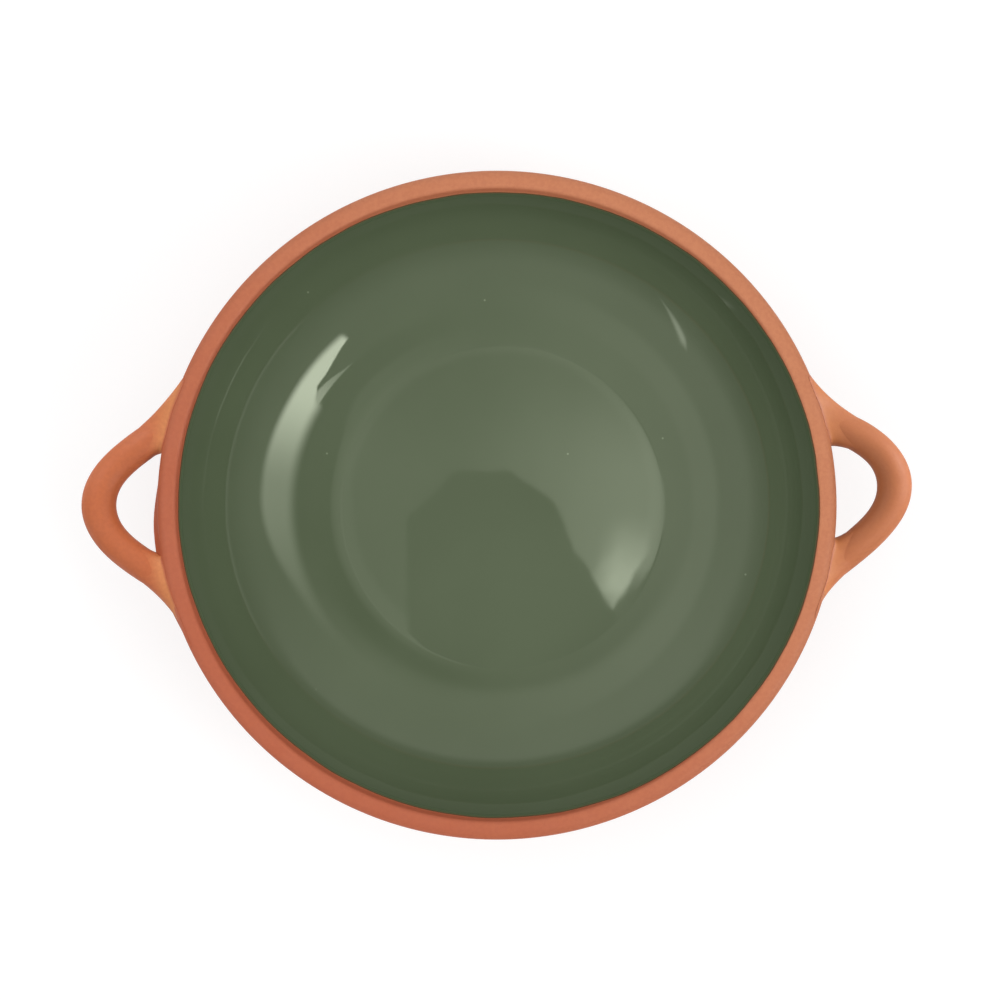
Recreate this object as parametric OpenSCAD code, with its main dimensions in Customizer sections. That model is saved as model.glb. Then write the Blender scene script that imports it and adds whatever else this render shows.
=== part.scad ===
// Tapas dish: a round earthenware bowl, bare clay outside and glazed inside,
// with two loop handles luted to the wall under the lip.
// All sizes are in millimetres. The origin is the middle of the foot, on the table.
// +X runs along the handles, +Y is the back and +Z is up.

/* [Bowl] */
// Diameter across the lip
rim_d = 200; // [180:1:230]
// Height of the lip above the table
rim_h = 43; // [38:0.5:50]
// Thickness of the clay wall
wall_t = 6; // [5:0.1:7.5]
// Radius of the lip's outer edge
lip_outer_r = 2.4; // [1.5:0.1:3]
// Radius of the lip's inner edge
lip_inner_r = 1.5; // [0.8:0.1:2]

/* [Floor and foot] */
// Diameter of the inside floor, up to the crease where the wall starts
floor_d = 98; // [84:1:108]
// Thickness of the clay in the middle of the floor
floor_t = 6.5; // [5.5:0.1:9]
// How much lower the middle of the floor lies than its edge
floor_dish = 1.3; // [0.8:0.1:2.5]
// Slope at which the wall leaves the floor, in degrees
wall_slope = 12; // [9:0.5:16]
// Diameter of the foot
foot_d = 106; // [96:1:118]
// Width of the ring of the foot that stands on the table
foot_ring = 9; // [5:0.5:14]
// Depth of the hollow inside the foot ring
foot_hollow = 0.8; // [0.5:0.1:1.5]
// Radius of the foot's outer edge
foot_edge_r = 1.2; // [0.8:0.1:1.6]

/* [Glaze] */
// Thickness of the glaze
glaze_t = 0.5; // [0.3:0.05:0.9]
// How far under the top of the lip the glaze ends
glaze_drop = 1.2; // [1.2:0.1:6]

/* [Handles] */
// How far a handle stands out past the lip
handle_out = 22.6; // [19:0.1:30]
// Diameter of the clay rod at the tip of the loop
tip_d = 10.4; // [8:0.1:12]
// Diameter of the clay rod where an arm meets the wall
arm_d = 9.4; // [7.5:0.1:11]
// Radius of the bend at the tip, on the middle of the rod
bend_r = 12.6; // [11:0.1:16]
// Angle from the tip of the loop to the start of each arm, in degrees
bend_half = 49; // [44:0.5:56]
// How far the middle of the rod lies under the top of the lip, at the wall
handle_drop = 7.5; // [7:0.1:9.5]
// Rise of a handle towards its tip, in degrees
handle_rise = 3; // [0:0.5:5]
// How far each handle is set round towards the back, in degrees
handle_set = 1.2; // [0:0.1:4]

/* [Slip joints] */
// Thickness of the slip between an arm and the wall
slip_t = 0.5; // [0.3:0.05:1]
// Length of an arm that is covered by the slip, on the middle of the rod
slip_l = 13; // [9:0.5:15]
// Thickness of the slip at the edge where it ends on the arm
slip_edge = 0.3; // [0.2:0.05:0.6]
// Thickness of the slip round the arm at the wall
slip_foot = 1; // [0.7:0.05:1.3]

/* [Hidden] */
$fn = 180;

clay_colour = "#c2724c";
slip_colour = "#b9683f";
glaze_colour = "#5b654b";

// Room that a cut takes past what it cuts
spare = 10;

rim_r = rim_d / 2;
floor_r = floor_d / 2;
foot_r = foot_d / 2;
tip_r = tip_d / 2;
arm_r = arm_d / 2;

// The floor is a shallow arc, as low as floor_dish under its edge
floor_arc_r = (floor_r * floor_r + floor_dish * floor_dish) / (2 * floor_dish);
floor_arc_c = [0, floor_t + floor_arc_r];
crease = [floor_r, floor_t + floor_dish];

// The inner and outer wall are arcs about one centre. The inner one leaves the crease at wall_slope,
// and the outer one runs into the rounded outer edge of the lip.
lip_outer_c = [rim_r - lip_outer_r, rim_h - lip_outer_r];
slope_normal = [-sin(wall_slope), cos(wall_slope)];
crease_to_lip = lip_outer_c - crease;
lip_in_wall = wall_t - lip_outer_r;
wall_inner_r = (crease_to_lip * crease_to_lip - lip_in_wall * lip_in_wall)
    / (2 * (crease_to_lip * slope_normal + lip_in_wall));
wall_outer_r = wall_inner_r + wall_t;
wall_c = crease + wall_inner_r * slope_normal;

// The lip's inner edge touches the inner wall and the top of the lip
lip_inner_z = rim_h - lip_inner_r;
lip_inner_c = [
    wall_c.x + sqrt(pow(wall_inner_r + lip_inner_r, 2) - pow(wall_c.y - lip_inner_z, 2)),
    lip_inner_z
];

// Directions from the centres of the lip's edges to where they run into the wall
lip_outer_turn = angle_of(lip_outer_c - wall_c);
lip_inner_turn = angle_of(wall_c - lip_inner_c);
straight_up = 90;
straight_down = -90;

// A handle in its own frame: the bend, then two arms that leave it at bend_half
rod_z = rim_h - handle_drop;
bend_x = handle_out - tip_r - bend_r;
arm_start = [rim_r + bend_x + bend_r * cos(bend_half), bend_r * sin(bend_half)];
arm_way = [-sin(bend_half), cos(bend_half)];

// Distance along an arm from the bend to the outside of the wall
wall_at_rod = wall_c.x + sqrt(pow(wall_outer_r, 2) - pow(wall_c.y - rod_z, 2));
arm_closing = -arm_start * arm_way;
arm_to_wall = arm_closing
    - sqrt(arm_closing * arm_closing - arm_start * arm_start + wall_at_rod * wall_at_rod);

// An arm starts a little inside the bend, slightly thinner than the rod there.
// It and its slip run on into the wall before they are cut to it.
arm_sunk = 1;
arm_step = 0.1;
arm_start_r = tip_r - arm_step;
arm_taper = (arm_start_r - arm_r) / arm_to_wall;
arm_run = arm_to_wall + 2 * arm_d;
slip_start = arm_to_wall - slip_l;
slip_run = slip_l + 3 * arm_d;
slip_edge_r = arm_start_r - arm_taper * slip_start + slip_edge;
slip_spread = (slip_foot - slip_edge) / slip_l;

back = 1;
front = -1;
right_turn = handle_set;
left_turn = 180 - handle_set;

function angle_of(way) = atan2(way.y, way.x);
function towards(angle, length) = length * [cos(angle), sin(angle)];

// Part of the plane around a centre, from one direction to another
module wedge(centre, from, to) {
    polygon([
        centre,
        centre + towards(from, spare),
        centre + towards((from + to) / 2, 2 * spare),
        centre + towards(to, spare)
    ]);
}

// An outline with one corner rounded about a centre, between two directions
module rounded(centre, radius, from, to) {
    difference() {
        children();
        wedge(centre, from, to);
    }
    intersection() {
        translate(centre) circle(radius);
        wedge(centre, from, to);
    }
}

// The hollow of the bowl, drawn in all round by an inset
module hollow_outline(inset) {
    intersection() {
        union() {
            translate(wall_c) circle(wall_inner_r - inset);
            square([wall_c.x, rim_h + spare]);
        }
        translate(floor_arc_c) circle(floor_arc_r - inset);
        square([rim_r, rim_h + spare]);
    }
}

// The clay of the bowl, cut through from its middle line to its lip
module bowl_outline() {
    rounded(lip_outer_c, lip_outer_r, lip_outer_turn, straight_up)
    rounded(lip_inner_c, lip_inner_r, straight_up, lip_inner_turn)
    rounded([foot_r - foot_edge_r, foot_edge_r], foot_edge_r, straight_down, 0)
    difference() {
        union() {
            intersection() {
                translate(wall_c) circle(wall_outer_r);
                translate([wall_c.x, 0]) square([rim_r + spare, rim_h]);
            }
            square([foot_r, crease.y]);
        }
        hollow_outline(0);
        square([foot_r - foot_ring, foot_hollow]);
    }
}

// All that lies inside the arc of the outer wall, grown by an allowance, and the space over it
module wall_space(allowance) {
    rotate_extrude()
    intersection() {
        union() {
            translate(wall_c) circle(wall_outer_r + allowance);
            square([wall_c.x, rim_h + spare]);
        }
        square([rim_d, rim_h + spare]);
    }
}

// Moves a handle's own frame, at the wall, to one side of the bowl
module at_side(turn) {
    rotate([0, 0, turn])
    translate([rim_r, 0, rod_z])
    rotate([0, -handle_rise, 0])
    translate([bend_x, 0, 0])
    children();
}

// Moves the start of an arm, with +Z along the arm, to its place in the handle's frame
module at_arm(side) {
    rotate([0, 0, side * bend_half])
    translate([bend_r, 0, 0])
    rotate([-side * 90, 0, 0])
    children();
}

module arm() {
    translate([0, 0, -arm_sunk])
    cylinder(
        h = arm_sunk + arm_run,
        r1 = arm_start_r + arm_taper * arm_sunk,
        r2 = arm_start_r - arm_taper * arm_run
    );
}

module handle(turn) {
    difference() {
        at_side(turn) {
            rotate([0, 0, -bend_half])
            rotate_extrude(angle = 2 * bend_half)
            translate([bend_r, 0]) circle(tip_r);
            for (side = [front, back]) at_arm(side) arm();
        }
        wall_space(slip_t);
    }
}

// The slip round one arm, which spreads towards the wall
module slip(turn, side) {
    difference() {
        at_side(turn) at_arm(side)
        translate([0, 0, slip_start])
        cylinder(h = slip_run, r1 = slip_edge_r, r2 = slip_edge_r + slip_spread * slip_run);
        difference() {
            at_side(turn) at_arm(side) arm();
            wall_space(slip_t);
        }
        wall_space(0);
    }
}

module bowl_body() {
    color(clay_colour) rotate_extrude() bowl_outline();
}

module glaze_lining() {
    color(glaze_colour)
    rotate_extrude()
    intersection() {
        difference() {
            hollow_outline(0);
            hollow_outline(glaze_t);
        }
        square([rim_r, rim_h - glaze_drop]);
    }
}

module handle_left() {
    color(clay_colour) handle(left_turn);
}

module handle_right() {
    color(clay_colour) handle(right_turn);
}

module slip_left_back() {
    color(slip_colour) slip(left_turn, front);
}

module slip_left_front() {
    color(slip_colour) slip(left_turn, back);
}

module slip_right_back() {
    color(slip_colour) slip(right_turn, back);
}

module slip_right_front() {
    color(slip_colour) slip(right_turn, front);
}

bowl_body();
glaze_lining();
handle_left();
handle_right();
slip_left_back();
slip_left_front();
slip_right_back();
slip_right_front();
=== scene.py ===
"""Tapas dish: a hand-thrown clay bowl, glazed olive green inside, with two loop handles.

Sizes are in millimetres unless a name says otherwise, and become metres where a mesh is made.
+X runs along the handles, +Y is the back and +Z is up. A turn goes round +Z, from +X.
"""

import math
from functools import lru_cache

import bmesh
import bpy
from mathutils import Matrix, Vector


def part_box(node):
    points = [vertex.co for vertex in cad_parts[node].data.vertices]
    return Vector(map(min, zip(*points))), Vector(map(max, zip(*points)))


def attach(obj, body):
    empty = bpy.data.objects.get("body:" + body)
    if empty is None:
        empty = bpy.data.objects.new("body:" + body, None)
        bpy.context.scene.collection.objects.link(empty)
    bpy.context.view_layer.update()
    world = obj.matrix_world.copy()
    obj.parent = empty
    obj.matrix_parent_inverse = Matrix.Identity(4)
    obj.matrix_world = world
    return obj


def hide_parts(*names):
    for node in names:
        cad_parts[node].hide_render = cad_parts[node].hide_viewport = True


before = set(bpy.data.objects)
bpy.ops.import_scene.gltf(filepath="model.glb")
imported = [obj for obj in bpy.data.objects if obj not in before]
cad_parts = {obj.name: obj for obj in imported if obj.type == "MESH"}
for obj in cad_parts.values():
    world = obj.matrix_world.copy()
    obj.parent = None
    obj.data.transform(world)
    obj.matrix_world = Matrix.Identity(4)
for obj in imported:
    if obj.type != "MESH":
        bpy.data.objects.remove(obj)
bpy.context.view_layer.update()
MM = 0.001
BODY = "root"

# Bowl
RIM_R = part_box("bowl_body")[1].x / MM
RIM_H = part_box("bowl_body")[1].z / MM
WALL_T = 6.0
LIP_OUTER_R = 2.4
LIP_INNER_R = 1.5
FLOOR_R = 49.0
FLOOR_T = 6.5
FLOOR_DISH = 1.3
WALL_SLOPE = math.radians(12)
FOOT_R = 53.0
FOOT_RING = 9.0
FOOT_HOLLOW = 0.8
FOOT_EDGE_R = 1.2

# What the hand of the potter adds to the bowl
OVAL = 1.5
RING_PITCH = 4.2
RING_DEPTH = 0.1
WOBBLE = 0.35
SLOW_WAVES = 1.4
FINE_WAVES = 7.0
WAVES_UP = 30.0
LIP_DROP = 0.2
LIP_DROP_DEPTH = 8.0
LIP_SLOPE = math.tan(math.radians(8))
LIP_SLOPE_DEPTH = 4.0
FLOOR_ASIDE = 1.7
FLOOR_ASIDE_REACH = 25.0
FACING_UP = (0.0, 0.3)
MARKED = (0.0, 0.2)
SEAM = 0.001

# The swelling under the lip where the left handle was pressed on. Its band is two heights and the depth of
# the soft edge at each.
BULGE = 2.7
BULGE_TURN = math.radians(188)
BULGE_SPREAD = math.radians(18)
BULGE_FLAT = 0.25
BULGE_BAND = (27.0, 41.5, 8.0, 3.5)

# Glaze
GLAZE_T = 0.5
GLAZE_SUNK = 0.12
GLAZE_NOSE = 1.0
POOL_ON_FLOOR = 1.0
POOL_ON_WALL = 3.0
GLAZE_EDGE_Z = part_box("glaze_lining")[1].z / MM
EDGE_WIDTH = 2.2
EDGE_REACH = 14.0
EDGE_MEAN = -0.25
EDGE_TO_RIGHT = 0.47
EDGE_AT_SIDES = 0.35
EDGE_LEAN = -0.21
EDGE_WAVE = 0.5

# Steps round the bowl, and along each stretch of the two profiles
ROUND_STEPS = 240
BOWL_STEPS = {"floor": 24, "wall": 60, "lip_in": 10, "lip_top": 4, "lip_out": 14, "outside": 110}
FOOT_STEPS = {"edge": 6, "ring": 6, "step": 4, "hollow": 16}
GLAZE_STEPS = {"floor": 40, "pool": 12, "wall": 100, "nose": 10, "back_wall": 30, "back_floor": 12}

# Handles. The rod bends most at its tip and ends at its own angle in each arm.
HANDLE_OUT = 22.55
TIP_R = 5.15
ARM_R = 4.75
TAPER = 8.0
TIP_BEND_R = 13.0
BENDS = {
    "right": {"back": math.radians(70), "front": math.radians(56.5)},
    "left": {"back": math.radians(57.5), "front": math.radians(61)},
}
HANDLE_DROP = 7.5
HANDLE_RISE = math.radians(3)
HANDLE_TURNS = {"right": math.radians(1.9), "left": math.radians(178.8)}
ARM_RUN = 50.0
ARM_STEPS = 50
HALVINGS = 30
ROD_STEP = 0.25
ROD_AROUND = 48
ROD_WOBBLE = 0.2
ROD_WAVES = 60.0
SUNK = 1.5

# Slip, by how far it was smeared over the arm, along the wall and up towards the lip, and how far it fills
# the corner between them
SLIP_AROUND = 72
SLIP_ACROSS = 14
SLIP_T = 0.06
SLIP_SUNK = 0.4
SLIP_SHARP = math.radians(50)
SMEAR_OUT = {
    "right": {"back": Vector((15.0, 6.4, 4.0, 0.7)), "front": Vector((11.0, 5.8, 4.0, 0.5))},
    "left": {"back": Vector((16.0, 5.4, 4.0, 0.8)), "front": Vector((13.0, 13.0, 4.0, 0.45))},
}
SMEAR_IN = {
    "right": {"back": Vector((9.0, 4.0, 0.0, 0.45)), "front": Vector((8.0, 4.2, 0.0, 0.4))},
    "left": {"back": Vector((6.0, 4.0, 0.0, 0.35)), "front": Vector((7.0, 2.6, 0.0, 0.5))},
}
SMEAR_TOP = Vector((10.0, 2.4, 0.0, 0.45))
SMEAR_UNDER = Vector((4.0, 4.0, 0.0, 0.3))

# Colours of the clay at the front left, in painted shade, and at the back right, in painted light, and of
# its dark grain
PAINTED_LIGHT_WAY = (math.cos(math.radians(42)), math.sin(math.radians(42)), 0)
BARE_CLAY = {"left": "#b15a38", "right": "#c17952", "grain": "#953e29"}
ROD_CLAY = {"left": "#ae592d", "right": "#96552c", "grain": "#7d351c"}
SLIP_AT_ROOT = {"left": "#c27743", "right": "#945422"}
SLIP_AT_WALL = {"left": "#ab5835", "right": "#8a4c2c"}
ROOT_SPREAD = (0.1, 0.85)
WALL_SPREAD = (0.8, 1.0)
CLOUD_REACH = 50.0
GRAIN_SHARE = 0.15
# How far the clay darkens at the glaze's edge: partly painted shade on the lip's inner rounding, partly the
# real dark line where the glaze ends
EDGE_SHADE_AND_STAIN_SHARE = 0.4
CLAY_EDGE = (0.2, 1.0)
CLAY_ROUGHNESS = (0.2, 0.8, 0.55, 0.7)
FIRED_IOR = 1.5

# Colours of the glaze: its body, the painted shade on its upper wall, its pale specks painted as glints, and
# its thin and brown edge
GLAZE_BODY = ("#505b44", "#545f48")
GLAZE_UPPER_SHADE = "#3c4732"
GLAZE_GLINT = "#93a085"
GLAZE_THIN = "#35492b"
GLAZE_BROWN = "#55301c"
GLAZE_SHEEN = (0.92, 1.0, 0.78, 1.0)
# Painted shade on the upper wall of the glaze: the heights where it comes in, and how strongly it darkens
# towards the right
UPPER_SHADE_WALL = (24 * MM, 40 * MM)
UPPER_SHADE_WAY = (1, 0.5, 0)
UPPER_SHADE_SHARE = (-60 * MM, 100 * MM, 0.1, 0.5)
# Painted glints: which cells of the glaze hold a pale speck, and how big it is
GLINT_CHOICE = (0.8, 0.82)
GLINT_SIZE = (0.016, 0.008, 0.0, 0.4)
THIN_EDGE = (0.2, 0.8, 0.0, 0.4)
BROWN_EDGE = (0.7, 1.0, 0.0, 0.6)
GLAZE_ROUGHNESS = (0.2, 0.8, 0.02, 0.5)
GLAZE_GLOSS = (0.3, 0.8, 0.5, 0.15)

# Noise in the finishes: its contrast, the strength and depth of the relief, and scales per metre
CONTRAST = (0.3, 0.7)
CLAY_RELIEF = (0.25, 0.2)
GLAZE_RELIEF = (0.1, 0.1)
CLAY_CLOUDS = 22.0
CLAY_GRAIN = 900.0
CLAY_POLISH = 120.0
CLAY_PORES = 1400.0
GLAZE_CLOUDS = 18.0
GLAZE_RIPPLE = 60.0
GLAZE_GLINT_SCALE = 40.0

# A soft lamp on each handle: turn, height and level
LAMP_SIZE = math.radians(60)
LAMPS = {
    "right": (math.radians(15), math.radians(9), 6.2),
    "left": (math.radians(105), math.radians(25), 1.4),
}

# Camera, from the photograph's frame. How far it stands and how far it sees are in metres.
IMAGE_PX = 1000
RIM_CENTRE_PX = (496.9, 504.5)
RIM_R_PX = 340.2
CAMERA_TILT = math.radians(1.5)
CAMERA_ROLL = math.radians(1.2)
CAMERA_AWAY = 2.0
SENSOR = 36.0
CAMERA_REACH = 100.0


# Helpers for node trees

def feed(tree, socket, value):
    """Links a socket to another, or sets its own value."""
    if isinstance(value, bpy.types.NodeSocket):
        tree.links.new(value, socket)
    else:
        socket.default_value = value


def add(tree, kind, inputs=None, **settings):
    """Adds one node, with its settings and inputs."""
    node = tree.nodes.new(kind)
    for name, value in settings.items():
        setattr(node, name, value)
    for name, value in (inputs or {}).items():
        feed(tree, node.inputs[name], value)
    return node


def maths(tree, operation, *values):
    """One step of arithmetic on sockets and numbers."""
    node = add(tree, "ShaderNodeMath", operation=operation)
    for socket, value in zip(node.inputs, values):
        feed(tree, socket, value)
    return node.outputs[0]


def total(tree, values):
    """The sum of several sockets and numbers."""
    result = values[0]
    for value in values[1:]:
        result = maths(tree, "ADD", result, value)
    return result


def product(tree, values):
    """Several sockets and numbers, multiplied."""
    result = values[0]
    for value in values[1:]:
        result = maths(tree, "MULTIPLY", result, value)
    return result


def ramp(tree, value, low, high, start=0.0, end=1.0):
    """Goes smoothly from start to end as a value passes from low to high."""
    node = add(
        tree,
        "ShaderNodeMapRange",
        {"Value": value, "From Min": low, "From Max": high, "To Min": start, "To Max": end},
        interpolation_type="SMOOTHSTEP",
    )
    return node.outputs["Result"]


def between(tree, value, low, high, low_edge, high_edge):
    """1 between two values and 0 outside them, with soft edges inside the two."""
    rise = ramp(tree, value, low, low + low_edge)
    fall = ramp(tree, value, high - high_edge, high, 1.0, 0.0)
    return maths(tree, "MULTIPLY", rise, fall)


def split(tree, vector):
    """The X, Y and Z of a vector."""
    return add(tree, "ShaderNodeSeparateXYZ", {0: vector}).outputs


def joined(tree, x, y, z=0.0):
    """A vector of three sockets or numbers."""
    return add(tree, "ShaderNodeCombineXYZ", {0: x, 1: y, 2: z}).outputs[0]


def along_way(tree, vector, way):
    """How far a vector reaches along a fixed way."""
    return add(tree, "ShaderNodeVectorMath", {0: vector, 1: way}, operation="DOT_PRODUCT").outputs["Value"]


def noise(tree, vector, scale, detail):
    inputs = {"Vector": vector, "Scale": scale, "Detail": detail}
    return add(tree, "ShaderNodeTexNoise", inputs).outputs["Fac"]


def linear(hex_colour):
    """A colour written as sRGB, as the linear values that a shader takes."""
    parts = [int(hex_colour[i:i + 2], 16) / 255 for i in (1, 3, 5)]
    return [p / 12.92 if p <= 0.04045 else ((p + 0.055) / 1.055) ** 2.4 for p in parts] + [1.0]


# Profiles of the bowl and the glaze, as points (radius, height)

def on_arc(centre, radius, turn):
    return Vector((centre.x + radius * math.cos(turn), centre.y + radius * math.sin(turn)))


def arc(centre, radius, start, end, steps):
    """Points on an arc, with both ends."""
    return [on_arc(centre, radius, start + (end - start) * i / steps) for i in range(steps + 1)]


def bent(start, corner, end, share):
    """A point on a line that is bent softly round a corner, at a share of its length."""
    return start * (1 - share) ** 2 + corner * 2 * share * (1 - share) + end * share ** 2


def angle_of(way):
    return math.atan2(way.y, way.x)


DOWN = -math.pi / 2
UP = math.pi / 2
FLOOR_ARC_R = (FLOOR_R ** 2 + FLOOR_DISH ** 2) / (2 * FLOOR_DISH)
FLOOR_ARC_C = Vector((0, FLOOR_T + FLOOR_ARC_R))
CREASE = Vector((FLOOR_R, FLOOR_T + FLOOR_DISH))
LIP_OUTER_C = Vector((RIM_R - LIP_OUTER_R, RIM_H - LIP_OUTER_R))
SLOPE_NORMAL = Vector((-math.sin(WALL_SLOPE), math.cos(WALL_SLOPE)))
CREASE_TO_LIP = LIP_OUTER_C - CREASE
LIP_IN_WALL = WALL_T - LIP_OUTER_R
WALL_INNER_R = (CREASE_TO_LIP.length_squared - LIP_IN_WALL ** 2) / (
    2 * (CREASE_TO_LIP.dot(SLOPE_NORMAL) + LIP_IN_WALL)
)
WALL_OUTER_R = WALL_INNER_R + WALL_T
WALL_C = CREASE + WALL_INNER_R * SLOPE_NORMAL
LIP_INNER_Z = RIM_H - LIP_INNER_R
LIP_INNER_C = Vector((
    WALL_C.x + math.sqrt((WALL_INNER_R + LIP_INNER_R) ** 2 - (WALL_C.y - LIP_INNER_Z) ** 2),
    LIP_INNER_Z,
))
FLOOR_TURN = angle_of(CREASE - FLOOR_ARC_C)
CREASE_TURN = angle_of(CREASE - WALL_C)
LIP_TURN = angle_of(LIP_OUTER_C - WALL_C)


def inside_points():
    """From the middle of the floor over the crease and up to the lip."""
    floor = arc(FLOOR_ARC_C, FLOOR_ARC_R, DOWN, FLOOR_TURN, BOWL_STEPS["floor"])
    wall = arc(WALL_C, WALL_INNER_R, CREASE_TURN, angle_of(LIP_INNER_C - WALL_C), BOWL_STEPS["wall"])
    return floor + wall[1:]


def lip_points():
    """Over the lip, from its inner to its outer edge."""
    inner = arc(LIP_INNER_C, LIP_INNER_R, angle_of(WALL_C - LIP_INNER_C), UP, BOWL_STEPS["lip_in"])[1:]
    steps = BOWL_STEPS["lip_top"]
    top_end = Vector((LIP_OUTER_C.x, RIM_H))
    top = [inner[-1].lerp(top_end, i / steps) for i in range(1, steps)]
    return inner + top + arc(LIP_OUTER_C, LIP_OUTER_R, UP, LIP_TURN, BOWL_STEPS["lip_out"])


def outside_points():
    """Down the outside of the wall to the foot."""
    foot_turn = -math.acos((FOOT_R - WALL_C.x) / WALL_OUTER_R)
    return arc(WALL_C, WALL_OUTER_R, LIP_TURN, foot_turn, BOWL_STEPS["outside"])[1:]


def foot_points():
    """Round the edge of the foot, over its ring and through the hollow to the middle."""
    ring_out = FOOT_R - FOOT_EDGE_R
    ring_width = FOOT_RING - FOOT_EDGE_R
    hollow_r = FOOT_R - FOOT_RING - FOOT_HOLLOW
    steps = FOOT_STEPS["ring"]
    edge = arc(Vector((ring_out, FOOT_EDGE_R)), FOOT_EDGE_R, 0, DOWN, FOOT_STEPS["edge"])
    ring = [Vector((ring_out - ring_width * i / steps, 0)) for i in range(1, steps + 1)]
    step = arc(Vector((hollow_r, 0)), FOOT_HOLLOW, 0, UP, FOOT_STEPS["step"])[1:]
    steps = FOOT_STEPS["hollow"]
    hollow = [Vector((hollow_r * (1 - i / steps), FOOT_HOLLOW)) for i in range(1, steps + 1)]
    return edge + ring + step + hollow


def lip_sink(at):
    """How far the sloping lip lies under a level one, at a place in the profile."""
    out = max(0.0, at.x - LIP_INNER_C.x)
    share = min(1.0, max(0.0, (at.y - RIM_H) / LIP_SLOPE_DEPTH + 1))
    return LIP_SLOPE * out * share


def bowl_profile():
    """The clay's points, the share of the potter's marks at each, and how near it is to the glaze's edge."""
    inside, lip, outside, foot = inside_points(), lip_points(), outside_points(), foot_points()
    points = inside + [point - Vector((0, lip_sink(point))) for point in lip + outside] + foot
    unmarked = len(inside) + len(lip)
    marks = [math.sin(math.pi * (i + 1) / len(outside)) ** 0.5 for i in range(len(outside))]
    marks = [0.0] * unmarked + marks + [0.0] * len(foot)
    edge = [near_glaze_edge(point) for point in points[:unmarked]]
    return points, marks, edge + [0.0] * (len(points) - unmarked)


def glaze_edge():
    """Where the glaze ends on the inside of the wall."""
    drop = WALL_C.y - GLAZE_EDGE_Z
    return Vector((WALL_C.x + math.sqrt(WALL_INNER_R ** 2 - drop ** 2), GLAZE_EDGE_Z))


def near_glaze_edge(point):
    """1 on the line where the glaze ends, down to 0 at the edge's width from it."""
    return max(0.0, 1 - (point - glaze_edge()).length / EDGE_WIDTH)


def glaze_face(nose_start):
    """The face of the glaze: the floor, the pool in the crease, and the wall up to the nose."""
    floor_end = FLOOR_TURN - POOL_ON_FLOOR / FLOOR_ARC_R
    wall_start = CREASE_TURN + POOL_ON_WALL / WALL_INNER_R
    face_r = WALL_INNER_R - GLAZE_T
    floor = arc(FLOOR_ARC_C, FLOOR_ARC_R - GLAZE_T, DOWN, floor_end, GLAZE_STEPS["floor"])
    wall = arc(WALL_C, face_r, wall_start, nose_start, GLAZE_STEPS["wall"])
    corner = WALL_C + face_r * (CREASE - WALL_C).normalized()
    steps = GLAZE_STEPS["pool"]
    pool = [bent(floor[-1], corner, wall[0], i / steps) for i in range(1, steps)]
    return floor + pool + wall


def glaze_profile():
    """The coat of glaze: its face, the nose where it ends under the lip, and its back, just in the clay."""
    edge_turn = -math.acos(min(1.0, (glaze_edge().x - WALL_C.x) / WALL_INNER_R))
    nose_turn = GLAZE_NOSE / WALL_INNER_R
    points = glaze_face(edge_turn - nose_turn)
    for i in range(1, GLAZE_STEPS["nose"] + 1):
        share = i / GLAZE_STEPS["nose"]
        thickness = GLAZE_T * math.sqrt(max(0.0, 1 - share ** 2))
        points.append(on_arc(WALL_C, WALL_INNER_R - thickness, edge_turn - nose_turn * (1 - share)))
    points += arc(WALL_C, WALL_INNER_R + GLAZE_SUNK, edge_turn, CREASE_TURN, GLAZE_STEPS["back_wall"])
    back_r = FLOOR_ARC_R + GLAZE_SUNK
    points += arc(FLOOR_ARC_C, back_r, FLOOR_TURN, DOWN, GLAZE_STEPS["back_floor"])[1:]
    return points, [0.0] * len(points), [near_glaze_edge(point) for point in points]


def profile_object(name, points, marks, edge):
    """Points of a profile in the XZ plane, with the way out of the clay at each one."""
    mesh = bpy.data.meshes.new(name)
    mesh.from_pydata([(p.x * MM, 0, p.y * MM) for p in points], [], [])
    outs = []
    for i in range(len(points)):
        along = points[min(i + 1, len(points) - 1)] - points[max(i - 1, 0)]
        outs.append((-along.y / along.length, 0, along.x / along.length))
    out = mesh.attributes.new("out", "FLOAT_VECTOR", "POINT")
    out.data.foreach_set("vector", [c for o in outs for c in o])
    mesh.attributes.new("marks", "FLOAT", "POINT").data.foreach_set("value", marks)
    mesh.attributes.new("edge", "FLOAT", "POINT").data.foreach_set("value", edge)
    return bpy.data.objects.new(name, mesh)


# Throwing: a profile turned round the Z axis and pulled a little out of true

def group_inputs(tree, inputs):
    """Gives a tree its named inputs and returns the node that they come out of."""
    for name, kind, value in inputs:
        socket = tree.interface.new_socket(name, in_out="INPUT", socket_type="NodeSocket" + kind)
        if value is not None:
            socket.default_value = value
    tree.interface.new_socket("Geometry", in_out="OUTPUT", socket_type="NodeSocketGeometry")
    return add(tree, "NodeGroupInput").outputs


def sampled(tree, profile, row, name, kind):
    """An attribute of the profile's point in this row."""
    if name == "position":
        field = add(tree, "GeometryNodeInputPosition").outputs[0]
    else:
        field = add(tree, "GeometryNodeInputNamedAttribute", {"Name": name}, data_type=kind).outputs[0]
    node = add(tree, "GeometryNodeSampleIndex", data_type=kind)
    feed(tree, node.inputs["Geometry"], profile)
    feed(tree, node.inputs["Value"], field)
    feed(tree, node.inputs["Index"], row)
    return node.outputs[0]


def finish_tree(tree, geometry, material):
    """Closes the seams, smooths the shading, sets the material and ends the tree."""
    merged = add(tree, "GeometryNodeMergeByDistance", {"Geometry": geometry, "Distance": SEAM * MM})
    smooth = add(tree, "GeometryNodeSetShadeSmooth", {"Geometry": merged.outputs[0]})
    real = add(tree, "GeometryNodeRealizeInstances", {"Geometry": smooth.outputs[0]})
    painted = add(tree, "GeometryNodeSetMaterial", {"Geometry": real.outputs[0], "Material": material})
    add(tree, "NodeGroupOutput", {"Geometry": painted.outputs[0]})


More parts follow.
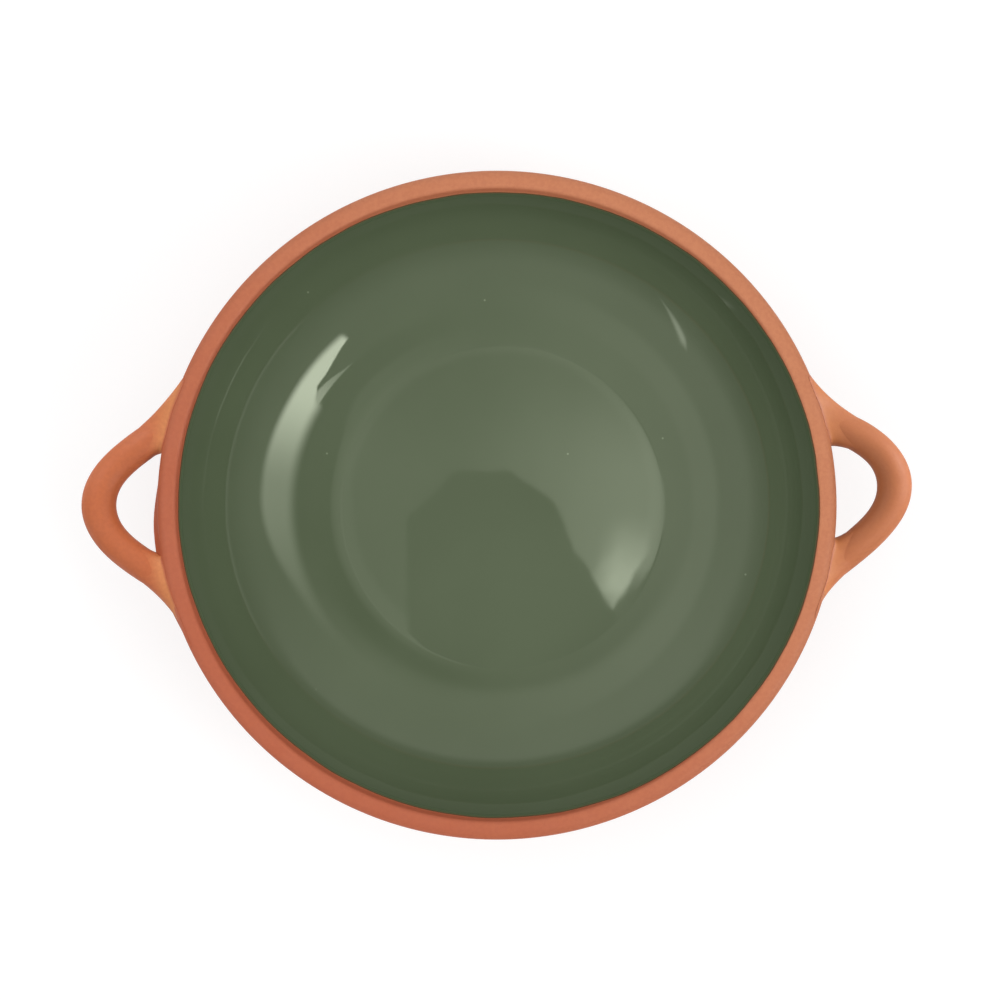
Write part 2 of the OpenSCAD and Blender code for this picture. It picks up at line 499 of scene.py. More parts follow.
def turned_grid(tree, profile, steps):
    """A grid with a row for each point of the profile, and the row and the turn of each of its points."""
    size = add(tree, "GeometryNodeAttributeDomainSize", {"Geometry": profile}).outputs["Point Count"]
    columns = maths(tree, "ADD", steps, 1)
    grid = add(tree, "GeometryNodeMeshGrid", {"Vertices X": size, "Vertices Y": columns}).outputs["Mesh"]
    index = add(tree, "GeometryNodeInputIndex").outputs[0]
    row = maths(tree, "FLOOR", maths(tree, "DIVIDE", maths(tree, "ADD", index, 0.5), columns))
    column = maths(tree, "SUBTRACT", index, maths(tree, "MULTIPLY", row, columns))
    turn = maths(tree, "MULTIPLY", maths(tree, "DIVIDE", column, steps), math.tau)
    return grid, row, turn


def throwing_waves(tree, inputs, height, turn, slow):
    """Throwing rings that climb the outside, and slow waves that run round it."""
    rings_up = maths(tree, "DIVIDE", height, inputs["Ring pitch"])
    climb = maths(tree, "ADD", rings_up, maths(tree, "DIVIDE", turn, math.tau))
    ring = maths(tree, "SINE", maths(tree, "MULTIPLY", maths(tree, "ADD", climb, slow), math.tau))
    return total(tree, [
        maths(tree, "MULTIPLY", ring, inputs["Ring depth"]),
        maths(tree, "MULTIPLY", maths(tree, "SUBTRACT", slow, 0.5), inputs["Wobble"]),
    ])


def swelling(tree, bulge, turn, height, marks):
    """The swelling of the wall under the lip, on the outside alone."""
    aside = maths(tree, "ABSOLUTE", maths(tree, "SUBTRACT", turn, BULGE_TURN))
    return product(tree, [
        ramp(tree, aside, BULGE_SPREAD, BULGE_FLAT * BULGE_SPREAD),
        between(tree, height, *(size * MM for size in BULGE_BAND)),
        bulge,
        ramp(tree, marks, *MARKED),
    ])


def glaze_creep(tree, inputs, turn, height, fine):
    """How far out and how far up the glaze is drawn, as it ends higher or lower round the rim."""
    second = maths(tree, "MULTIPLY", turn, 2)
    edge = total(tree, [
        EDGE_MEAN * MM,
        maths(tree, "MULTIPLY", maths(tree, "COSINE", turn), EDGE_TO_RIGHT * MM),
        maths(tree, "MULTIPLY", maths(tree, "COSINE", second), EDGE_AT_SIDES * MM),
        maths(tree, "MULTIPLY", maths(tree, "SINE", second), EDGE_LEAN * MM),
        maths(tree, "MULTIPLY", maths(tree, "SUBTRACT", fine, 0.5), inputs["Edge wave"]),
    ])
    top = GLAZE_EDGE_Z * MM
    near = ramp(tree, height, maths(tree, "SUBTRACT", top, inputs["Edge reach"]), top)
    creep = product(tree, [edge, near, inputs["Edge shift"]])
    way_up = (glaze_edge() - WALL_C).normalized()
    return creep, maths(tree, "MULTIPLY", creep, way_up.x / -way_up.y)


def throwing_tree():
    """Turns a profile round the Z axis, with all that the potter's hand adds."""
    tree = bpy.data.node_groups.new("throwing", "GeometryNodeTree")
    inputs = group_inputs(tree, [
        ("Profile", "Object", None),
        ("Material", "Material", None),
        ("Steps round", "Int", ROUND_STEPS),
        ("Oval", "Float", 0.0),
        ("Ring pitch", "Float", 1.0),
        ("Ring depth", "Float", 0.0),
        ("Wobble", "Float", 0.0),
        ("Lip drop", "Float", 0.0),
        ("Bulge", "Float", 0.0),
        ("Edge reach", "Float", 1.0),
        ("Edge shift", "Float", 0.0),
        ("Edge wave", "Float", 0.0),
    ])
    profile = add(tree, "GeometryNodeObjectInfo", {"Object": inputs["Profile"]}).outputs["Geometry"]
    grid, row, turn = turned_grid(tree, profile, inputs["Steps round"])
    cosine = maths(tree, "COSINE", turn)
    sine = maths(tree, "SINE", turn)
    place = split(tree, sampled(tree, profile, row, "position", "FLOAT_VECTOR"))
    out = split(tree, sampled(tree, profile, row, "out", "FLOAT_VECTOR"))
    marks = sampled(tree, profile, row, "marks", "FLOAT")
    radius, height = place["X"], place["Z"]
    spot = joined(tree, cosine, sine, maths(tree, "MULTIPLY", height, WAVES_UP))
    slow = noise(tree, spot, SLOW_WAVES, 2.0)
    fine = noise(tree, spot, FINE_WAVES, 3.0)

    # The rim is a little narrower from front to back than from side to side
    widening = ramp(tree, radius, FLOOR_R * MM, RIM_R * MM)
    narrow = product(tree, [inputs["Oval"], widening, maths(tree, "POWER", sine, 2)])

    # Out of the clay go the waves and the swelling
    waves = throwing_waves(tree, inputs, height, turn, slow)
    swell = swelling(tree, inputs["Bulge"], turn, height, marks)
    push = maths(tree, "ADD", maths(tree, "MULTIPLY", waves, marks), swell)
    creep, rise = glaze_creep(tree, inputs, turn, height, fine)

    # The lip dips and rises a little
    near_lip = ramp(tree, height, (RIM_H - LIP_DROP_DEPTH) * MM, RIM_H * MM)
    dip = product(tree, [near_lip, inputs["Lip drop"], slow])

    # The floor and the crease round it lie a little to the right
    reach_out = (FLOOR_R + FLOOR_ASIDE_REACH) * MM
    on_floor = ramp(tree, radius, reach_out, FLOOR_R * MM, 0.0, FLOOR_ASIDE * MM)
    aside = maths(tree, "MULTIPLY", on_floor, ramp(tree, out["Z"], *FACING_UP))

    reach = total(tree, [
        radius,
        maths(tree, "MULTIPLY", narrow, -1),
        maths(tree, "MULTIPLY", out["X"], push),
        creep,
    ])
    level = total(tree, [
        height,
        maths(tree, "MULTIPLY", out["Z"], push),
        rise,
        maths(tree, "MULTIPLY", dip, -1),
    ])
    moved = joined(
        tree,
        maths(tree, "MULTIPLY_ADD", reach, cosine, aside),
        maths(tree, "MULTIPLY", reach, sine),
        maths(tree, "MINIMUM", RIM_H * MM, level),
    )
    named = add(tree, "GeometryNodeStoreNamedAttribute", {
        "Geometry": grid,
        "Name": "edge",
        "Value": sampled(tree, profile, row, "edge", "FLOAT"),
    }, data_type="FLOAT", domain="POINT").outputs[0]
    turned = add(tree, "GeometryNodeSetPosition", {"Geometry": named, "Position": moved}).outputs[0]
    finish_tree(tree, turned, inputs["Material"])
    return tree


def piece(name, mesh):
    obj = bpy.data.objects.new(name, mesh)
    bpy.context.scene.collection.objects.link(obj)
    return obj


def made_by_tree(name, tree, values):
    """Runs a tree with its inputs set and keeps the result as a plain mesh, with its faces outwards."""
    holder = piece(name + "_tree", bpy.data.meshes.new(name + "_tree"))
    modifier = holder.modifiers.new("tree", "NODES")
    modifier.node_group = tree
    for item in tree.interface.items_tree:
        if item.in_out == "INPUT" and item.name in values:
            modifier[item.identifier] = values[item.name]
    graph = bpy.context.evaluated_depsgraph_get()
    mesh = bpy.data.meshes.new_from_object(holder.evaluated_get(graph))
    bpy.data.objects.remove(holder)
    mesh.name = name
    face_outwards(mesh)
    return piece(name, mesh)


def face_outwards(mesh):
    """Turns every face of a closed mesh outwards."""
    work = bmesh.new()
    work.from_mesh(mesh)
    bmesh.ops.recalc_face_normals(work, faces=work.faces)
    work.to_mesh(mesh)
    work.free()


def make_bowl(tree, material):
    return made_by_tree("bowl", tree, {
        "Profile": profile_object("bowl_profile", *bowl_profile()),
        "Material": material,
        "Steps round": ROUND_STEPS,
        "Oval": OVAL * MM,
        "Ring pitch": RING_PITCH * MM,
        "Ring depth": RING_DEPTH * MM,
        "Wobble": WOBBLE * MM,
        "Lip drop": LIP_DROP * MM,
        "Bulge": BULGE * MM,
    })


def make_glaze(tree, material):
    return made_by_tree("glaze", tree, {
        "Profile": profile_object("glaze_profile", *glaze_profile()),
        "Material": material,
        "Steps round": ROUND_STEPS,
        "Oval": OVAL * MM,
        "Edge reach": EDGE_REACH * MM,
        "Edge shift": 1.0,
        "Edge wave": EDGE_WAVE * MM,
    })


# The outside of the wall, which the handles and the slip meet

def section(point):
    """A point's place in the bowl's profile."""
    radius = math.hypot(point.x, point.y)
    return Vector((radius + OVAL * (point.y / radius) ** 2, point.z))


def nearest_centre(at):
    """The centre and radius of the arc of the outer profile that a point lies nearest to."""
    if angle_of(at - WALL_C) < LIP_TURN:
        return WALL_C, WALL_OUTER_R
    return LIP_OUTER_C, LIP_OUTER_R


def wall_depth(point):
    """How deep a point lies in the wall, from outside."""
    at = section(point)
    centre, radius = nearest_centre(at)
    return radius - (at - centre).length


def on_wall(point, depth=0.0):
    """The nearest point at a depth in the wall."""
    at = section(point)
    centre, radius = nearest_centre(at)
    target = centre + (at - centre).normalized() * (radius - depth)
    reach = math.hypot(point.x, point.y)
    grown = (reach + target.x - at.x) / reach
    return Vector((point.x * grown, point.y * grown, target.y))


def out_of_wall(point):
    """The way out of the wall at a point on it."""
    at = section(point)
    away = (at - nearest_centre(at)[0]).normalized()
    reach = math.hypot(point.x, point.y)
    return Vector((point.x / reach * away.x, point.y / reach * away.x, away.y))


def not_deeper(point, depth):
    return on_wall(point, depth) if wall_depth(point) > depth else point


def into_wall(line):
    """How far along a line of points the wall starts."""
    low, high = 0.0, ARM_RUN
    for _ in range(HALVINGS):
        middle = (low + high) / 2
        if wall_depth(line(middle)) < 0:
            low = middle
        else:
            high = middle
    return low


# Handles: clay rods, rolled by hand along a path

def handle_place(side):
    """From a handle's own frame, with the tip of the rod at the origin, to its side of the bowl."""
    return (
        Matrix.Rotation(HANDLE_TURNS[side], 4, "Z")
        @ Matrix.Translation((RIM_R, 0, RIM_H - HANDLE_DROP))
        @ Matrix.Rotation(-HANDLE_RISE, 4, "Y")
        @ Matrix.Translation((HANDLE_OUT - TIP_R, 0, 0))
    )


def arm_end(side, place):
    """Which way along its own Y axis a handle's arm runs: 1 or -1."""
    return 1 if (side == "right") == (place == "back") else -1


@lru_cache
def rod_line(side, place):
    """Points on the middle of the rod, one each step from its tip along one arm."""
    last = BENDS[side][place]
    point = Vector((0, 0, 0))
    points = [point.copy()]
    for i in range(round(ARM_RUN / ROD_STEP)):
        turn = last * math.tanh((i + 0.5) * ROD_STEP / (last * TIP_BEND_R))
        point += ROD_STEP * Vector((-math.sin(turn), arm_end(side, place) * math.cos(turn), 0))
        points.append(point.copy())
    placed = handle_place(side)
    return [placed @ point for point in points]


def rod_point(side, place, along):
    """A point on the middle of the rod, at a distance from the tip."""
    line = rod_line(side, place)
    step = min(int(along / ROD_STEP), len(line) - 2)
    return line[step].lerp(line[step + 1], along / ROD_STEP - step)


def rod_radius(along):
    """The rod thins from the tip to the arms."""
    return ARM_R + (TIP_R - ARM_R) * math.exp(-(along / TAPER) ** 2)


def wall_along(side, place):
    """How far along an arm the middle of the rod meets the wall."""
    return into_wall(lambda along: rod_point(side, place, along))


def handle_path(side):
    """Points along the middle of the rod, from one arm over the tip to the other, with the rod's radius."""
    halves = []
    for place in ("front", "back"):
        length = wall_along(side, place) + ARM_R
        steps = [length * i / ARM_STEPS for i in range(ARM_STEPS + 1)]
        halves.append([(rod_point(side, place, along), rod_radius(along)) for along in steps])
    return halves[0][:0:-1] + halves[1]


def path_object(name, points):
    curve = bpy.data.curves.new(name, "CURVE")
    curve.dimensions = "3D"
    spline = curve.splines.new("POLY")
    spline.points.add(len(points) - 1)
    for slot, (point, radius) in zip(spline.points, points):
        slot.co = (*(point * MM), 1)
        slot.radius = radius * MM
    return bpy.data.objects.new(name, curve)


def rolling_tree():
    """A clay rod along a path, with its radius at each point."""
    tree = bpy.data.node_groups.new("rolling", "GeometryNodeTree")
    inputs = group_inputs(tree, [
        ("Path", "Object", None),
        ("Material", "Material", None),
        ("Steps round", "Int", ROD_AROUND),
        ("Wobble", "Float", 0.0),
    ])
    path = add(tree, "GeometryNodeObjectInfo", {"Object": inputs["Path"]}).outputs["Geometry"]
    round_steps = {"Resolution": inputs["Steps round"], "Radius": 1.0}
    circle = add(tree, "GeometryNodeCurvePrimitiveCircle", round_steps).outputs["Curve"]
    rod = add(tree, "GeometryNodeCurveToMesh", {
        "Curve": path,
        "Profile Curve": circle,
        "Scale": add(tree, "GeometryNodeInputRadius").outputs[0],
        "Fill Caps": True,
    }).outputs[0]
    waves = add(tree, "ShaderNodeTexNoise", {"Scale": ROD_WAVES, "Detail": 2.0}).outputs["Fac"]
    push = maths(tree, "MULTIPLY", maths(tree, "SUBTRACT", waves, 0.5), inputs["Wobble"])
    normal = add(tree, "GeometryNodeInputNormal").outputs[0]
    way = add(tree, "ShaderNodeVectorMath", {0: normal, "Scale": push}, operation="SCALE").outputs[0]
    pressed = add(tree, "GeometryNodeSetPosition", {"Geometry": rod, "Offset": way}).outputs[0]
    finish_tree(tree, pressed, inputs["Material"])
    return tree


def make_handle(side, tree, material):
    handle = made_by_tree("loop_handle_" + side, tree, {
        "Path": path_object("handle_path_" + side, handle_path(side)),
        "Material": material,
        "Steps round": ROD_AROUND,
        "Wobble": ROD_WOBBLE * MM,
    })
    for vertex in handle.data.vertices:
        vertex.co = not_deeper(vertex.co / MM, SUNK) * MM
    face_outwards(handle.data)
    return handle


# Slip: a collar smeared round the foot of each arm

def slip_reach(side, place, outward, upward):
    """How the slip was smeared, by where it lies round the arm."""
    sideways = (SMEAR_OUT if outward > 0 else SMEAR_IN)[side][place]
    level = SMEAR_TOP if upward > 0 else SMEAR_UNDER
    return sideways * outward ** 2 + level * upward ** 2


def under_lip(point):
    """A point brought down with the sloping lip, and kept under its top."""
    return Vector((point.x, point.y, min(point.z, RIM_H - SLIP_T) - lip_sink(section(point))))


def slip_ring(side, place, turn):
    """One cut through the slip: from its edge on the arm to its edge on the wall, and back in the clay."""
    middle = wall_along(side, place)
    along = (rod_point(side, place, middle) - rod_point(side, place, middle - ARM_R)).normalized()
    upward = handle_place(side).to_3x3() @ Vector((0, 0, 1))
    outward = along.cross(upward) * arm_end(side, place)
    way = outward * math.cos(turn) + upward * math.sin(turn)

    def on_arm(distance):
        return rod_point(side, place, distance) + way * rod_radius(distance)

    foot = into_wall(on_arm)
    corner = on_arm(foot)
    over_arm, over_wall, climb, fill = slip_reach(side, place, math.cos(turn), math.sin(turn))
    wall_way = out_of_wall(corner)
    slide = (way - wall_way * way.dot(wall_way)).normalized()
    arm_edge = on_arm(foot - over_arm)
    wall_edge = on_wall(corner + slide * over_wall + upward * climb)
    edge_way = out_of_wall(wall_edge)
    hollow = corner.lerp((arm_edge + wall_edge) / 2, fill)
    ring = []
    for i in range(SLIP_ACROSS + 1):
        share = i / SLIP_ACROSS
        lifted = (way * (1 - share) + edge_way * share).normalized() * SLIP_T
        ring.append(bent(arm_edge, hollow, wall_edge, share) + lifted)
    ring.append(on_wall(wall_edge, SLIP_SUNK))
    ring.append(not_deeper(corner + along - way, SUNK))
    ring.append(arm_edge - way * SLIP_SUNK)
    return [under_lip(point) for point in ring]


def make_slip(side, place, name, material):
    """The slip round one arm, with how far each point has spread from the arm to the wall."""
    rings = [slip_ring(side, place, math.tau * i / SLIP_AROUND) for i in range(SLIP_AROUND)]
    across = len(rings[0])
    faces = []
    for i in range(SLIP_AROUND):
        for j in range(across):
            k, l = (i + 1) % SLIP_AROUND, (j + 1) % across
            faces.append((i * across + j, k * across + j, k * across + l, i * across + l))
    mesh = bpy.data.meshes.new(name)
    mesh.from_pydata([p * MM for ring in rings for p in ring], [], faces)
    spread = [i / SLIP_ACROSS for i in range(SLIP_ACROSS + 1)] + [1.0, 0.5, 0.0]
    mesh.attributes.new("spread", "FLOAT", "POINT").data.foreach_set("value", spread * SLIP_AROUND)
    mesh.shade_smooth()
    mesh.set_sharp_from_angle(angle=SLIP_SHARP)
    mesh.materials.append(material)
    face_outwards(mesh)
    return piece(name, mesh)


# Finishes

def new_material(name):
    material = bpy.data.materials.new(name)
    material.use_nodes = True
    tree = material.node_tree
    return material, tree, tree.nodes["Principled BSDF"]


def object_place(tree):
    return add(tree, "ShaderNodeTexCoord").outputs["Object"]


def object_noise(tree, scale, detail=3.0):
    return noise(tree, object_place(tree), scale, detail)


def attribute(tree, name):
    """A number that each point of the mesh holds, such as how near it lies to the edge of the glaze."""
    return add(tree, "ShaderNodeAttribute", attribute_name=name).outputs["Fac"]


def mixed(tree, factor, first, second):
    node = add(tree, "ShaderNodeMix", {"Factor": factor}, data_type="RGBA")
    feed(tree, node.inputs["A"], first)
    feed(tree, node.inputs["B"], second)
    return node.outputs["Result"]


def toned(tree, share, colours):
    """The colour of the clay at a share of the way from the front left, in painted shade, to the back right,
    in painted light.
    """
    return mixed(tree, share, linear(colours["left"]), linear(colours["right"]))


def rough_surface(tree, shader, strength, depth, height):
    """Fine relief on a surface."""
    bump = add(tree, "ShaderNodeBump", {"Strength": strength, "Distance": depth * MM, "Height": height})
    feed(tree, shader.inputs["Normal"], bump.outputs[0])


def clay_material(name, colours, at_root=None, at_wall=None):
    """Bare fired earthenware with dark grain, toned from side to side as painted light and shade, and darker
    at the glaze's edge, partly as painted shade and partly as the real dark line where the glaze ends.

    Slip also changes colour from its edge on the arm over its root to its edge on the wall.
    """
    material, tree, shader = new_material(name)
    clouds = maths(tree, "SUBTRACT", object_noise(tree, CLAY_CLOUDS, 4.0), 0.5)
    drift = maths(tree, "MULTIPLY", clouds, CLOUD_REACH * MM)
    # Painted light and shade: paler towards the back right, where the light comes from, and darker at the
    # front left, with a drifting edge
    lean = maths(tree, "ADD", along_way(tree, object_place(tree), PAINTED_LIGHT_WAY), drift)
    share = ramp(tree, lean, -RIM_R * MM, RIM_R * MM)
    base = toned(tree, share, colours)
    if at_root:
        spread = attribute(tree, "spread")
        base = mixed(tree, ramp(tree, spread, *ROOT_SPREAD), base, toned(tree, share, at_root))
        base = mixed(tree, ramp(tree, spread, *WALL_SPREAD), base, toned(tree, share, at_wall))
    dark = linear(colours["grain"])
    grain = ramp(tree, object_noise(tree, CLAY_GRAIN, 2.0), *CONTRAST)
    base = mixed(tree, maths(tree, "MULTIPLY", grain, GRAIN_SHARE), base, dark)
    # Painted shade on the lip's inner rounding, together with the real dark line where the glaze ends
    edge = ramp(tree, attribute(tree, "edge"), *CLAY_EDGE)
    base = mixed(tree, maths(tree, "MULTIPLY", edge, EDGE_SHADE_AND_STAIN_SHARE), base, dark)
    feed(tree, shader.inputs["Base Color"], base)
    feed(tree, shader.inputs["Roughness"], ramp(tree, object_noise(tree, CLAY_POLISH), *CLAY_ROUGHNESS))
    shader.inputs["IOR"].default_value = FIRED_IOR
    rough_surface(tree, shader, *CLAY_RELIEF, object_noise(tree, CLAY_PORES))
    return material


def glaze_colour(tree, edge):
    """Olive glaze with soft clouds, painted shade up the wall that is strongest to the right, a few pale
    specks painted as glints, and a thin, brown edge.
    """
    place = object_place(tree)
    clouds = ramp(tree, object_noise(tree, GLAZE_CLOUDS), *CONTRAST)
    base = mixed(tree, clouds, *map(linear, GLAZE_BODY))
    # Painted shade: darker up the wall, and more so towards the right
    up_wall = ramp(tree, split(tree, place)["Z"], *UPPER_SHADE_WALL)
    to_right = ramp(tree, along_way(tree, place, UPPER_SHADE_WAY), *UPPER_SHADE_SHARE)
    base = mixed(tree, maths(tree, "MULTIPLY", up_wall, to_right), base, linear(GLAZE_UPPER_SHADE))
    # Painted glints: a few pale specks that stand in for light caught on tiny bubbles
    glint_cells = {"Vector": place, "Scale": GLAZE_GLINT_SCALE}
    cells = add(tree, "ShaderNodeTexVoronoi", glint_cells, voronoi_dimensions="2D").outputs
    chosen = ramp(tree, split(tree, cells["Color"])["X"], *GLINT_CHOICE)
    glints = maths(tree, "MULTIPLY", chosen, ramp(tree, cells["Distance"], *GLINT_SIZE))
    base = mixed(tree, glints, base, linear(GLAZE_GLINT))
    base = mixed(tree, ramp(tree, edge, *THIN_EDGE), base, linear(GLAZE_THIN))
    return mixed(tree, ramp(tree, edge, *BROWN_EDGE), base, linear(GLAZE_BROWN))


def glaze_material():
    """Glossy glaze, duller at its edge under the lip."""
    material, tree, shader = new_material("olive_glaze")
    edge = attribute(tree, "edge")
    feed(tree, shader.inputs["Base Color"], glaze_colour(tree, edge))
    feed(tree, shader.inputs["Roughness"], ramp(tree, edge, *GLAZE_ROUGHNESS))
    feed(tree, shader.inputs["Specular IOR Level"], ramp(tree, edge, *GLAZE_GLOSS))
    shader.inputs["Specular Tint"].default_value = GLAZE_SHEEN
    shader.inputs["IOR"].default_value = FIRED_IOR
    rough_surface(tree, shader, *GLAZE_RELIEF, object_noise(tree, GLAZE_RIPPLE, 2.0))
    return material


# Stage: floor, light and camera. The floor's size is in metres.

STAGE_SIZE = 20.0
STAGE_GREY = (0.8, 0.8, 0.8, 1)
STAGE_SHADE = (0.35, 0.35, 0.35, 1)
STAGE_GLOW = 0.7
WHITE = (1, 1, 1, 1)


def make_floor():
    """A pale floor, white to the camera and in mirrors apart from a shadow, and clear from below."""
    half = STAGE_SIZE / 2
    mesh = bpy.data.meshes.new("floor")
    corners = [(-half, -half, 0), (half, -half, 0), (half, half, 0), (-half, half, 0)]
    mesh.from_pydata(corners, [], [(0, 1, 2, 3)])
    material = bpy.data.materials.new("pale_floor")
    material.use_nodes = True
    tree = material.node_tree
    tree.nodes.clear()
    rays = add(tree, "ShaderNodeLightPath").outputs
    white_to = ("Is Camera Ray", "Is Glossy Ray", "Is Transmission Ray")
    seen = maths(tree, "MINIMUM", total(tree, [rays[kind] for kind in white_to]), 1.0)
    plain = add(tree, "ShaderNodeBsdfDiffuse", {"Color": STAGE_GREY}).outputs[0]
    shaded = add(tree, "ShaderNodeBsdfDiffuse", {"Color": STAGE_SHADE}).outputs[0]
    glow = add(tree, "ShaderNodeEmission", {"Color": WHITE, "Strength": STAGE_GLOW}).outputs[0]
    white = add(tree, "ShaderNodeAddShader", {0: shaded, 1: glow}).outputs[0]
    front = add(tree, "ShaderNodeMixShader", {0: seen, 1: plain, 2: white}).outputs[0]
    behind = add(tree, "ShaderNodeNewGeometry").outputs["Backfacing"]
    clear = add(tree, "ShaderNodeBsdfTransparent").outputs[0]
    surface = add(tree, "ShaderNodeMixShader", {0: behind, 1: front, 2: clear}).outputs[0]
    add(tree, "ShaderNodeOutputMaterial", {"Surface": surface})
    mesh.materials.append(material)
    piece("floor", mesh)


# Studio light. Turns, and heights above the horizon, are in degrees. A slope of four numbers says between
# which two values something goes from its start to its end, and a slope of two goes from 0 to 1.
# A band is its two ends and the width of the soft edge at each.

ROOM_LEVEL = 0.8
ROOM_TOP = (70, 78, 1.0, 0.0)
FAR_SIDE = (0.2, 0.8)
FAR_FADE = (50, 59, 1.0, -0.8)
FAR_LEVEL = 0.3
RIGHT_LEVEL = -0.2
RIGHT_BAND = (46, 70, 4, 4)
RIGHT_BAND_LEVEL = -0.3
LEFT_LOW_BAND = (12, 52, 8, 6)
LEFT_LOW_LEVEL = 0.25
LEFT_HIGH_BAND = (30, 79, 6, 6)
LEFT_HIGH_LEVEL = 0.5
HORIZON_LOW = (0, 1, 2, 8)
HORIZON_HIGH = (0, 1, 27, 14)
HORIZON_LEFT = (0.4, -0.2, 27, 22)
HORIZON_LEVEL = 0.3

# Light high on the right, which the crease mirrors on the left
CREASE_LIGHT_FOOT = (-40, -10, 58, 64.5)
CREASE_LIGHT_TOP = 83
CREASE_LIGHT_EDGES = (3, 4)
CREASE_LIGHT_LEVEL = 0.5

# The window on the right, and the branch at its near end
WINDOW_WIDENS = (-34, -28)
WINDOW_TOP = (-52, -36, 36.0, 42.2)
WINDOW_WIDER = 9.0
WINDOW_SOFT = (0, 1, 1.2, 7)
WINDOW_FOOT = [(-30, -8, 29.0, 27.5), (-4, 30, 0.0, 12.0)]
WINDOW_FOOT_EDGE = 6
WINDOW_END = (-49.5, -47.5)
WINDOW_FADE = [(-34, -4, 7.4, 0.0), (-10, 46, 2.6, 0.0)]
BRANCH_FOOT = (-46, -30, 47.4, 42.6)
BRANCH_TOP = (-46, -28, 48.4, 48.0)
BRANCH_EDGE = 0.9
BRANCH_LEVELS = [(-45.5, -43), (-44, -28, 2.0, 5.0), (-29, -24, 1.0, 0.0)]

# A low strip on the right, and a small slanting streak at the front left
STRIP_TURNS = (-47, 40, 8, 20)
STRIP_BAND = (3.4, 8.8, 2.0, 2.7)
STRIP_LEVEL = 0.45
STREAK_TURNS = (-143.5, -126.5, 4, 12)
STREAK_SLANT = -0.9635
STREAK_HEIGHT = -116.0
STREAK_WIDTH = 3.2
STREAK_LEVEL = 3.0

# What the floor of the dish mirrors lies nearly overhead. It is given by places on the floor in millimetres,
# and this is how many there are to one unit of direction, and the direction that the middle mirrors.
FLOOR_MIRROR = -602.0
FLOOR_MIRROR_X = 0.0042
FLOOR_MIRROR_Y = 0.0215
OVERHEAD = (72, 78)
OVERHEAD_SHADE = 0.2
LINE_EDGE = 0.8
ARCH_SIDES = [
    ((-27, 9), (-27, -40)),
    ((-12, 8.7), (-27, -5)),
    ((14, 9.2), (-14, 9.2)),
    ((18, -0.5), (5, 9.3)),
]
ARCH_RIGHT = [((24, -16), (18, -0.5)), ((34, -32), (24, -16))]
PALE_ACROSS = (-20, 50, 0.4, 2.2)
PALE_END = (40, 70, 1.0, 0.6)
PALE_UP = (6, 42, 1.0, 0.3)
PALE_FOOT = (-30, -20)
WEDGE_RIDGE = ((34, -32), (43, -2))
WEDGE_SIDE = ((35.1, -33.4), (49.9, -9.8))
WEDGE_FADE = (30, 6, 0.0, 4.2)
WEDGE_TIP = (0, 6, 0.4, 1.0)
WEDGE_BAND = (-9, 9, 5, 8.5)
RING_MIDDLE = (1.7, 0, 0)
RING_BAND = (43.5, 120, 2.5, 40)
RING_LEVEL = 0.3


def make_light():
    """A pale studio: soft light all round, with the panels that the glaze mirrors."""
    world = bpy.data.worlds.new("studio")
    bpy.context.scene.world = world
    world.use_nodes = True
    tree = world.node_tree
    way = split(tree, add(tree, "ShaderNodeTexCoord").outputs["Generated"])
    turn = maths(tree, "DEGREES", maths(tree, "ARCTAN2", way["Y"], way["X"]))
    height = maths(tree, "DEGREES", maths(tree, "ARCSINE", way["Z"]))
    level = total(tree, [
        room_light(tree, turn, height),
        key_light(tree, turn, height),
        strip_lights(tree, turn, height),
        overhead_light(tree, way, height),
    ])
    background = tree.nodes["Background"]
    background.inputs["Color"].default_value = WHITE
    feed(tree, background.inputs["Strength"], level)


def standing(tree, height, foot, top, foot_edge, top_edge):
    """1 from a foot up to a top, which may change with the turn, with soft edges inside the two."""
    rise = ramp(tree, height, foot, maths(tree, "ADD", foot, foot_edge))
    fall = ramp(tree, height, maths(tree, "SUBTRACT", top, top_edge), top, 1.0, 0.0)
    return maths(tree, "MULTIPLY", rise, fall)


def room_light(tree, turn, height):
    """Soft light all round, dim near the horizon and weaker on the right than on the left."""
    side = maths(tree, "COSINE", maths(tree, "RADIANS", turn))
    right = maths(tree, "MAXIMUM", side, 0.0)
    left = maths(tree, "MAXIMUM", maths(tree, "MULTIPLY", side, -1), 0.0)
    far = ramp(tree, maths(tree, "SINE", maths(tree, "RADIANS", turn)), *FAR_SIDE)
    round_about = ramp(tree, height, *ROOM_TOP)
    low_right = maths(tree, "MULTIPLY", right, round_about)
    crease_foot = ramp(tree, turn, *CREASE_LIGHT_FOOT)
    crease = standing(tree, height, crease_foot, CREASE_LIGHT_TOP, *CREASE_LIGHT_EDGES)
    level = total(tree, [
        ROOM_LEVEL,
        product(tree, [right, crease, CREASE_LIGHT_LEVEL]),
        product(tree, [far, ramp(tree, height, *FAR_FADE), round_about, FAR_LEVEL]),
        product(tree, [low_right, RIGHT_LEVEL]),
        product(tree, [low_right, between(tree, height, *RIGHT_BAND), RIGHT_BAND_LEVEL]),
        product(tree, [left, between(tree, height, *LEFT_LOW_BAND), LEFT_LOW_LEVEL]),
        product(tree, [left, between(tree, height, *LEFT_HIGH_BAND), LEFT_HIGH_LEVEL]),
    ])
    low = ramp(tree, far, *HORIZON_LOW)
    high = maths(tree, "MINIMUM", ramp(tree, far, *HORIZON_HIGH), ramp(tree, side, *HORIZON_LEFT))
    return maths(tree, "MULTIPLY", level, ramp(tree, height, low, high, HORIZON_LEVEL, 1.0))


